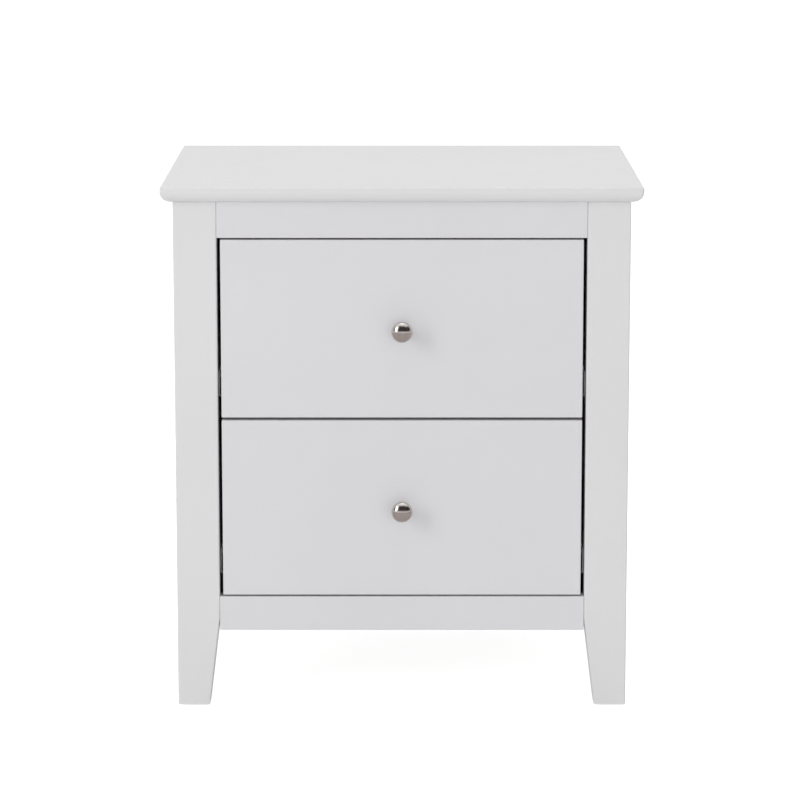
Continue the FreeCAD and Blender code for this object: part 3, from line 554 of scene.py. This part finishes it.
def sky(strength=0.5):
    """An even white room: its light is strength, and it shows as plain white."""
    world = bpy.data.worlds.new("white_room")
    bpy.context.scene.world = world
    world.use_nodes = True
    tree = world.node_tree
    background = tree.nodes["Background"]
    background.inputs["Color"].default_value = (1, 1, 1, 1)
    level = tree.nodes.new("ShaderNodeMapRange")
    level.inputs["To Min"].default_value = strength
    level.inputs["To Max"].default_value = 1.0
    tree.links.new(seen_directly(tree), level.inputs["Value"])
    tree.links.new(level.outputs["Result"], background.inputs["Strength"])


def flat_sheet(name, corners):
    """A flat sheet: a corner plus s and t times its two sides, with s and t from 0 to 1."""
    corner, first, second = (np.array(each, dtype=float) for each in corners)
    count = 5
    s, t = np.meshgrid(np.linspace(0, 1, count), np.linspace(0, 1, count))
    points = corner + s[..., None] * first + t[..., None] * second
    start = (np.arange(count - 1)[:, None] * count + np.arange(count - 1)).ravel()
    quads = np.stack([start, start + 1, start + count + 1, start + count], -1)
    mesh = bpy.data.meshes.new(name)
    mesh.from_pydata(points.reshape(-1, 3).tolist(), [], quads.tolist())
    sheet = bpy.data.objects.new(name, mesh)
    bpy.context.scene.collection.objects.link(sheet)
    return sheet


def floor(glow=0.72, reach=12.0):
    """A pale floor: matt white that takes the stand's shadow, lifted to white where it is seen."""
    ground = flat_sheet("floor", ((-reach, -reach, 0), (2 * reach, 0, 0), (0, 2 * reach, 0)))
    material = bpy.data.materials.new("pale_floor")
    material.use_nodes = True
    tree = material.node_tree
    surface = tree.nodes["Principled BSDF"]
    surface.inputs["Base Color"].default_value = (0.86, 0.86, 0.86, 1)
    surface.inputs["Roughness"].default_value = 0.9
    surface.inputs["Specular IOR Level"].default_value = 0.0
    surface.inputs["Emission Color"].default_value = (1, 1, 1, 1)
    lifted = tree.nodes.new("ShaderNodeMath")
    lifted.operation = "MULTIPLY"
    lifted.inputs[1].default_value = glow
    tree.links.new(seen_directly(tree), lifted.inputs[0])
    tree.links.new(lifted.outputs["Value"], surface.inputs["Emission Strength"])
    ground.data.materials.append(material)


def dim_card(name, corners, shade):
    """A plain card out of the camera's view. It gives no light: only reflections show it."""
    card = flat_sheet(name, corners)
    material = bpy.data.materials.new(name)
    material.use_nodes = True
    surface = material.node_tree.nodes["Principled BSDF"]
    surface.inputs["Base Color"].default_value = (0, 0, 0, 1)
    surface.inputs["Specular IOR Level"].default_value = 0.0
    surface.inputs["Emission Color"].default_value = (*shade, 1)
    surface.inputs["Emission Strength"].default_value = 1.0
    card.data.materials.append(material)
    card.visible_camera = False
    card.visible_diffuse = False
    card.visible_shadow = False


def lamp(name, place, target, width, height, watts, mirrored=True):
    """A flat soft lamp that looks at a point. Where it isn't mirrored, metal doesn't show it."""
    light = bpy.data.lights.new(name, "AREA")
    light.shape = "RECTANGLE"
    light.size, light.size_y, light.energy = width, height, watts
    holder = bpy.data.objects.new(name, light)
    holder.location = place
    holder.rotation_euler = (Vector(target) - Vector(place)).to_track_quat("-Z", "Y").to_euler()
    holder.visible_glossy = mirrored
    bpy.context.scene.collection.objects.link(holder)


def camera():
    """A long lens, well back from the stand and higher than it, tilted down at its middle."""
    tilt = 0.18432
    lens = bpy.data.cameras.new("camera")
    lens.sensor_width, lens.lens = 36.0, 151.84
    lens.clip_end = 100
    holder = bpy.data.objects.new("camera", lens)
    holder.location = (-0.002, -3.649, 0.978)
    holder.rotation_euler = (math.pi / 2 - tilt, 0, 0)
    bpy.context.scene.collection.objects.link(holder)
    bpy.context.scene.camera = holder


def studio():
    """The white room, its soft lamps, and dim cards ahead and at the sides, kept to reflections."""
    sky()
    floor()
    dark, dim = (0.05, 0.037, 0.035), (0.53, 0.475, 0.465)
    aside, ahead, lift, deep, tall = 7, -5.5, 0.8, 4, 6.2
    across, upward = (2 * aside, 0, 0), (0, 0, tall)
    dim_card("dark_wall", ((-aside, ahead, lift), across, upward), dark)
    for side_name, side in SIDES.items():
        corner = (side * aside, ahead, lift)
        dim_card(f"dark_{side_name}_wall", (corner, (0, deep, 0), upward), dark)
    dim_card("dim_mat", ((-aside, -5.4, 0.004), across, (0, 6.4, 0)), dim)
    front_middle = (0, -0.05, 0.3)
    lamp("key_lamp", (-2.8, -2.6, 1.8), front_middle, 1.4, 2.6, 36)
    lamp("fill_lamp", (0.8, -3.8, 0.75), front_middle, 3.2, 1.4, 20, mirrored=False)
    lamp("top_lamp", (0.1, 0.1, 3.4), (0, 0, 0.4), 2.6, 2.6, 27)
    camera()
    bpy.context.scene.view_settings.view_transform = "Standard"


# ---- carcass ------------------------------------------------------------------------------------


def eased_board(node, body, finish, ease):
    """A board with eased edges that stands for a CAD board."""
    points, worn = board(*limits(node), ease)
    made(f"{node}_eased", node, body, finish, points, worn=worn)


def spots(node, margin, x_count, y_count, z_count):
    """Every combination of evenly spread places inside a node's box, by a margin on each axis."""
    low, high = limits(node)
    low, high = low + margin, high - margin
    spans = [
        np.linspace(low[k], high[k], count) if count > 1 else [(low[k] + high[k]) / 2]
        for k, count in enumerate((x_count, y_count, z_count))
    ]
    return np.stack(np.meshgrid(*spans, indexing="ij"), -1).reshape(-1, 3)


def carcass(frame_paint, front_paint, pine, enamel, zinc, roller_nylon, glide_nylon, hardboard):
    """The top, posts, rails, panels, cleats, battens, slides and their fixings."""
    low, high = limits("top_panel")
    points, worn = moulded_top(low, high)
    made("top_panel_moulded", "top_panel", "carcass", frame_paint, points, worn=worn)
    for end_name, end in ENDS.items():
        for side_name, side in SIDES.items():
            node = f"{end_name}_{side_name}_post"
            points, worn = tapered_post(*limits(node), side, end)
            made(f"{node}_tapered", node, "carcass", frame_paint, points, worn=worn)
    for node in ("top_front_rail", "bottom_front_rail", "top_back_rail", "bottom_back_rail"):
        eased_board(node, "carcass", front_paint, 0.8 * MM)
    for side_name in SIDES:
        eased_board(f"{side_name}_side_panel", "carcass", front_paint, 0.5 * MM)
    eased_board("back_panel", "carcass", hardboard, 0.4 * MM)
    for node in ("top_front_cleat", "top_back_cleat"):
        eased_board(node, "carcass", pine["x"], 0.8 * MM)
    for level in LEVELS:
        for side_name, side in SIDES.items():
            eased_board(f"{level}_{side_name}_batten", "carcass", pine["y"], 0.8 * MM)
            carcass_slide(level, side_name, side, enamel)
            roller(f"{level}_{side_name}_front_roller", -side, roller_nylon)
    axles("carcass_roller_axles", "carcass", -1, zinc)
    small_screws(zinc)
    cleat_screws(zinc)
    foot_glides(glide_nylon)


def carcass_slide(level, side_name, side, enamel):
    """A folded channel. Its upper flange is cut back at the mouth, where a roller drops in."""
    node = f"{level}_{side_name}_carcass_slide"
    low, high = limits(node)
    half, lip, mouth, slope, stub = SHEET / 2, 3 * MM, 30 * MM, 3 * MM, 1.7 * MM
    flange, height = high[0] - low[0], high[2] - low[2]
    outer = low[0] if side < 0 else -high[0]

    def section(upper):
        return [
            (flange - half, lip),
            (flange - half, half),
            (half, half),
            (half, height - half),
            (upper, height - half),
        ]

    short, exposed = folded(section(stub))
    full, _ = folded(section(flange))
    sections = np.array([short, short, full, full]) + (outer, low[2])
    depths = [low[1], low[1] + mouth - slope, low[1] + mouth, high[1]]
    points, exposed = drawn_back(sections, depths, exposed)
    points = points * (-side, 1, 1)
    made(f"{node}_folded", node, "carcass", enamel, points, worn=exposed)


def roller(node, way, finish):
    """A nylon roller: a ring with rounded rims and a shallow recess between hub and tread."""
    low, high = limits(node)
    rim, width = (high[1] - low[1]) / 2, high[0] - low[0]
    bore, hub, web, soft = 2.05 * MM, 4.4 * MM, 9.2 * MM, 0.6 * MM
    sunk, slope = 0.7 * MM, 0.3 * MM
    hub_foot, web_top, far_floor = hub + slope, web + slope, width - sunk
    bend = soft * 1.0001
    profile = np.concatenate(
        [
            [(bore, 0), (hub, 0), (hub_foot, sunk), (web, sunk), (web_top, 0)],
            bow((rim - soft, 0), (rim, soft), bend, 4),
            bow((rim, width - soft), (rim - soft, width), bend, 4),
            [(web_top, width), (web, far_floor), (hub_foot, far_floor), (hub, width), (bore, width)],
        ]
    )
    points, _ = turned(profile, 64)
    worn = np.repeat((profile[:, :1] > rim - 0.3 * soft) * 1.0, points.shape[1], 1)
    middle = (low + high) / 2
    face = low[0] if way > 0 else high[0]
    copies = seated(points, [(face, middle[1], middle[2])], [(way, 0, 0)])
    made(f"{node}_turned", node, node, finish, copies, looped=True, worn=worn)


def axle_points():
    """A riveted axle: a pin through the sheet, a shoulder, the roller's pin and a domed head.

    The dome is a quarter ellipse: radius collar * cos a at height rim + crown * sin a.
    """
    pin, collar = AXLE_PIN, AXLE_COLLAR
    shoulder, head, rim, crown = 4.4 * MM, 10.1 * MM, 10.35 * MM, 0.55 * MM
    under_rim = (collar - 0.1 * MM, head + 0.05 * MM)
    angle = np.linspace(0, 0.49 * math.pi, 8)
    stem = [(POLE, 0), (pin, 0), (pin, SHEET), (collar, SHEET), (collar, shoulder)]
    roller_pin = [(pin, shoulder), (pin, head), under_rim]
    dome = np.stack([collar * np.cos(angle), rim + crown * np.sin(angle)], -1)
    return turned(np.concatenate([stem, roller_pin, dome, [(POLE, rim + crown)]]), 32)[0]


def axles(node, body, way, finish):
    """One axle at each side and level that the node's box spans, pointing out or in."""
    low, high = limits(node)
    points = axle_points()
    start = points[..., 2].max() if way > 0 else 0
    levels = 2 if high[2] - low[2] > 4 * AXLE_COLLAR else 1
    places = spots(node, np.array([start, AXLE_COLLAR, AXLE_COLLAR]), 2, 1, levels)
    facing = np.sign(places[:, :1]) * way * (1, 0, 0)
    made(f"{node}_riveted", node, body, finish, seated(points, places, facing))


def screws(node, body, finish, shape, places, facing):
    """Screws of one shape, the undersides of their heads at places and their tips facing in."""
    points = screw(*(size * MM for size in shape))
    facing = np.broadcast_to(facing, np.shape(places))
    made(f"{node}_pan_head", node, body, finish, seated(points, places, facing))


def small_screws(zinc):
    """Three through each slide's web, and three through the back panel at each rear rail."""
    behind_mouth, behind_post, rise = 60 * MM, 7.5 * MM, 20.5 * MM
    from_post = 40 * MM
    places, facing = [], []
    for level in LEVELS:
        for side_name, side in SIDES.items():
            low, high = limits(f"{level}_{side_name}_carcass_slide")
            web = side * (max(abs(low[0]), abs(high[0])) - SHEET)
            first, last = low[1] + behind_mouth, limits("rear_left_post")[0][1] + behind_post
            for y in (first, (first + last) / 2, last):
                places.append((web, y, low[2] + rise))
                facing.append((side, 0, 0))
    reach = limits("front_right_post")[0][0] - from_post
    rear_face = limits("back_panel")[1][1]
    for rail in ("top_back_rail", "bottom_back_rail"):
        height = sum(limits(rail))[2] / 2
        places += [(x, rear_face, height) for x in (-reach, 0, reach)]
        facing += [(0, -1, 0)] * 3
    screws("carcass_small_screws", "carcass", zinc, SMALL_SCREW, places, facing)


def cleat_screws(zinc):
    """Two up through each cleat into the top, and two through it into its rail."""
    post = limits("front_right_post")[0][0]
    top_screw, rail_screw = post - 50 * MM, post - 70 * MM
    places, facing = [], []
    for end_name, end in (("front", -1), ("back", 1)):
        low, high = limits(f"top_{end_name}_cleat")
        middle = (low + high) / 2
        inner_face = high[1] if end < 0 else low[1]
        for side in SIDES.values():
            places.append((side * top_screw, middle[1], low[2]))
            places.append((side * rail_screw, inner_face, middle[2]))
            facing += [UP, (0, end, 0)]
    screws("cleat_screws", "carcass", zinc, CLEAT_SCREW, places, facing)


def foot_glides(glide_nylon):
    """Four nail-on glides: a disc with a rounded tread, and a pin up into the foot."""
    node = "foot_glides"
    low, high = limits(node)
    disc, thick, pin, tread = 9 * MM, 2 * MM, 1.5 * MM, 0.7 * MM
    pin_tip, worn_to = 2 * MM, 0.3 * MM
    tall = high[2] - low[2]
    tread_round = bow((disc - tread, 0), (disc, tread), tread * 1.0001, 4)
    nail = [(pin, thick), (pin, tall - pin_tip), (0.4 * pin, tall), (0.03 * pin, tall)]
    points, _ = turned(np.concatenate([[(POLE, 0)], tread_round, [(disc, thick)], nail]), 48)
    worn = (points[..., 2] < worn_to) * 1.0
    places = spots(node, np.array([disc, disc, 0]), 2, 2, 1)
    places[:, 2] = low[2]
    copies = seated(points, places, [UP] * len(places))
    made(f"{node}_turned", node, "carcass", glide_nylon, copies, worn=worn)


# ---- drawers ------------------------------------------------------------------------------------


def drawer(level, paint, ply_side, ply_back, ply_bottom, enamel, zinc, nickel, roller_nylon):
    """A drawer: its front and knob, its plywood box, and its runners, rollers and fixings."""
    name = f"{level}_drawer"
    eased_board(f"{name}_front", name, paint, 0.8 * MM)
    for side_name in SIDES:
        eased_board(f"{name}_{side_name}_side", name, ply_side, 0.6 * MM)
    eased_board(f"{name}_back", name, ply_back, 0.6 * MM)
    eased_board(f"{name}_bottom", name, ply_bottom, 0.3 * MM)
    knob(name, nickel)

    behind_front = limits(f"{name}_front")[1][1]
    knob_height = sum(limits(f"{name}_knob"))[2] / 2
    place = (0, behind_front, knob_height)
    screws(f"{name}_knob_screw", name, zinc, KNOB_SCREW, [place], (0, -1, 0))

    head = SMALL_SCREW[2] * MM
    node = f"{name}_runner_screws"
    places = spots(node, np.array([head, head, 0]), 2, 2, 1)
    places[:, 2] = limits(f"{name}_left_runner")[0][2]
    screws(node, name, zinc, SMALL_SCREW, places, UP)

    axles(f"{name}_roller_axles", name, 1, zinc)
    for side_name, side in SIDES.items():
        runner(name, side_name, side, enamel)
        roller(f"{name}_{side_name}_roller", side, roller_nylon)


def runner(name, side_name, side, enamel):
    """A folded runner: a foot below the side, a web up it, and a lipped track over the slide."""
    node = f"{name}_{side_name}_runner"
    low, high = limits(node)
    half, track_lip, foot = SHEET / 2, 3 * MM, 11 * MM
    web = np.abs(limits(f"{name}_{side_name}_side"))[:, 0].max()
    outer = high[0] if side > 0 else -low[0]
    tall = high[2] - low[2]
    corners = [
        (web - foot, half),
        (web + half, half),
        (web + half, tall - half),
        (outer - half, tall - half),
        (outer - half, tall - 2 * half - track_lip),
    ]
    section, exposed = folded(corners)
    section = section + (0, low[2])
    points, exposed = drawn_back([section, section], [low[1], high[1]], exposed)
    made(f"{node}_folded", node, name, enamel, points * (side, 1, 1), worn=exposed)


def knob(name, nickel):
    """A turned mushroom knob: base, waisted neck, bulged rim and a shallow domed face."""
    node = f"{name}_knob"
    low, high = limits(node)
    reach = high[1] - low[1]
    base, base_tall, rim, bulge = 6.5 * MM, 1.5 * MM, 9.5 * MM, 1.5 * MM
    face_tall, rim_tall = 3.5 * MM, 7 * MM
    face_at = reach - face_tall
    rim_at = face_at - rim_tall
    rim_bow = ((rim_tall / 2) ** 2 + bulge**2) / (2 * bulge)
    face_bow = (rim**2 + face_tall**2) / (2 * face_tall)
    soft = 0.25 * MM
    neck = bow((base, base_tall), (rim, rim_at), -12 * MM, 16)
    bulged = bow((rim, rim_at), (rim, face_at), rim_bow, 16)
    face = bow((rim, face_at), (0, reach), face_bow, 20)
    profile = np.concatenate(
        [
            [(POLE, 0), (base - soft, 0), (base, soft), (base, base_tall - soft)],
            neck[:-1],
            bulged[:-1],
            face[:-1],
            [(POLE, reach)],
        ]
    )
    points, run = turned(profile, 96)
    middle = (low + high) / 2
    copies = seated(points, [(middle[0], high[1], middle[2])], [(0, -1, 0)])
    made(f"{node}_turned", node, name, nickel, copies, run=run)


# ---- the whole stand ----------------------------------------------------------------------------


def refinish(finish, *nodes):
    """Gives CAD nodes that keep their shape a better finish."""
    for node in nodes:
        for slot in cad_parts[node].material_slots:
            slot.material = finish.material


def main():
    """Mixes the finishes, makes the carcass and the drawers, and sets up the studio."""
    frame_paint = white_paint("frame_paint", (0.832, 0.832, 0.838), (0.812, 0.812, 0.82))
    front_paint = white_paint("front_paint", (0.806, 0.8, 0.82), (0.784, 0.778, 0.8))
    enamel = slide_enamel()
    zinc = zinc_plate()
    nickel = satin_nickel()
    roller_nylon = nylon(
        "white_nylon", "roller_nylon", (0.88, 0.88, 0.85), (0.84, 0.84, 0.8), (0.5, 0.5, 0.48)
    )
    glide_nylon = nylon(
        "grey_nylon", "glide_nylon", (0.6, 0.6, 0.58), (0.54, 0.54, 0.52), (0.36, 0.35, 0.33)
    )
    pine_tones = (0.78, 0.64, 0.45), (0.62, 0.45, 0.27)
    pine = {axis: planed_wood(f"pine_{axis}", "batten_wood", axis, *pine_tones) for axis in "xy"}
    paints = (frame_paint, front_paint)
    carcass(*paints, pine, enamel, zinc, roller_nylon, glide_nylon, back_hardboard("Y"))
    plywoods = (
        drawer_plywood("y", "x", 9, 12 * MM),
        drawer_plywood("x", "y", 9, 12 * MM),
        drawer_plywood("x", "z", 3, 5 * MM),
    )
    for level in LEVELS:
        drawer(level, front_paint, *plywoods, enamel, zinc, nickel, roller_nylon)
    beech_tones = (0.74, 0.56, 0.38), (0.62, 0.44, 0.28)
    beech = planed_wood("beech", "dowel_wood", "x", *beech_tones)
    refinish(beech, "carcass_dowels", "upper_drawer_dowels", "lower_drawer_dowels")
    refinish(back_hardboard("Z"), "bottom_panel")

    studio()


main()
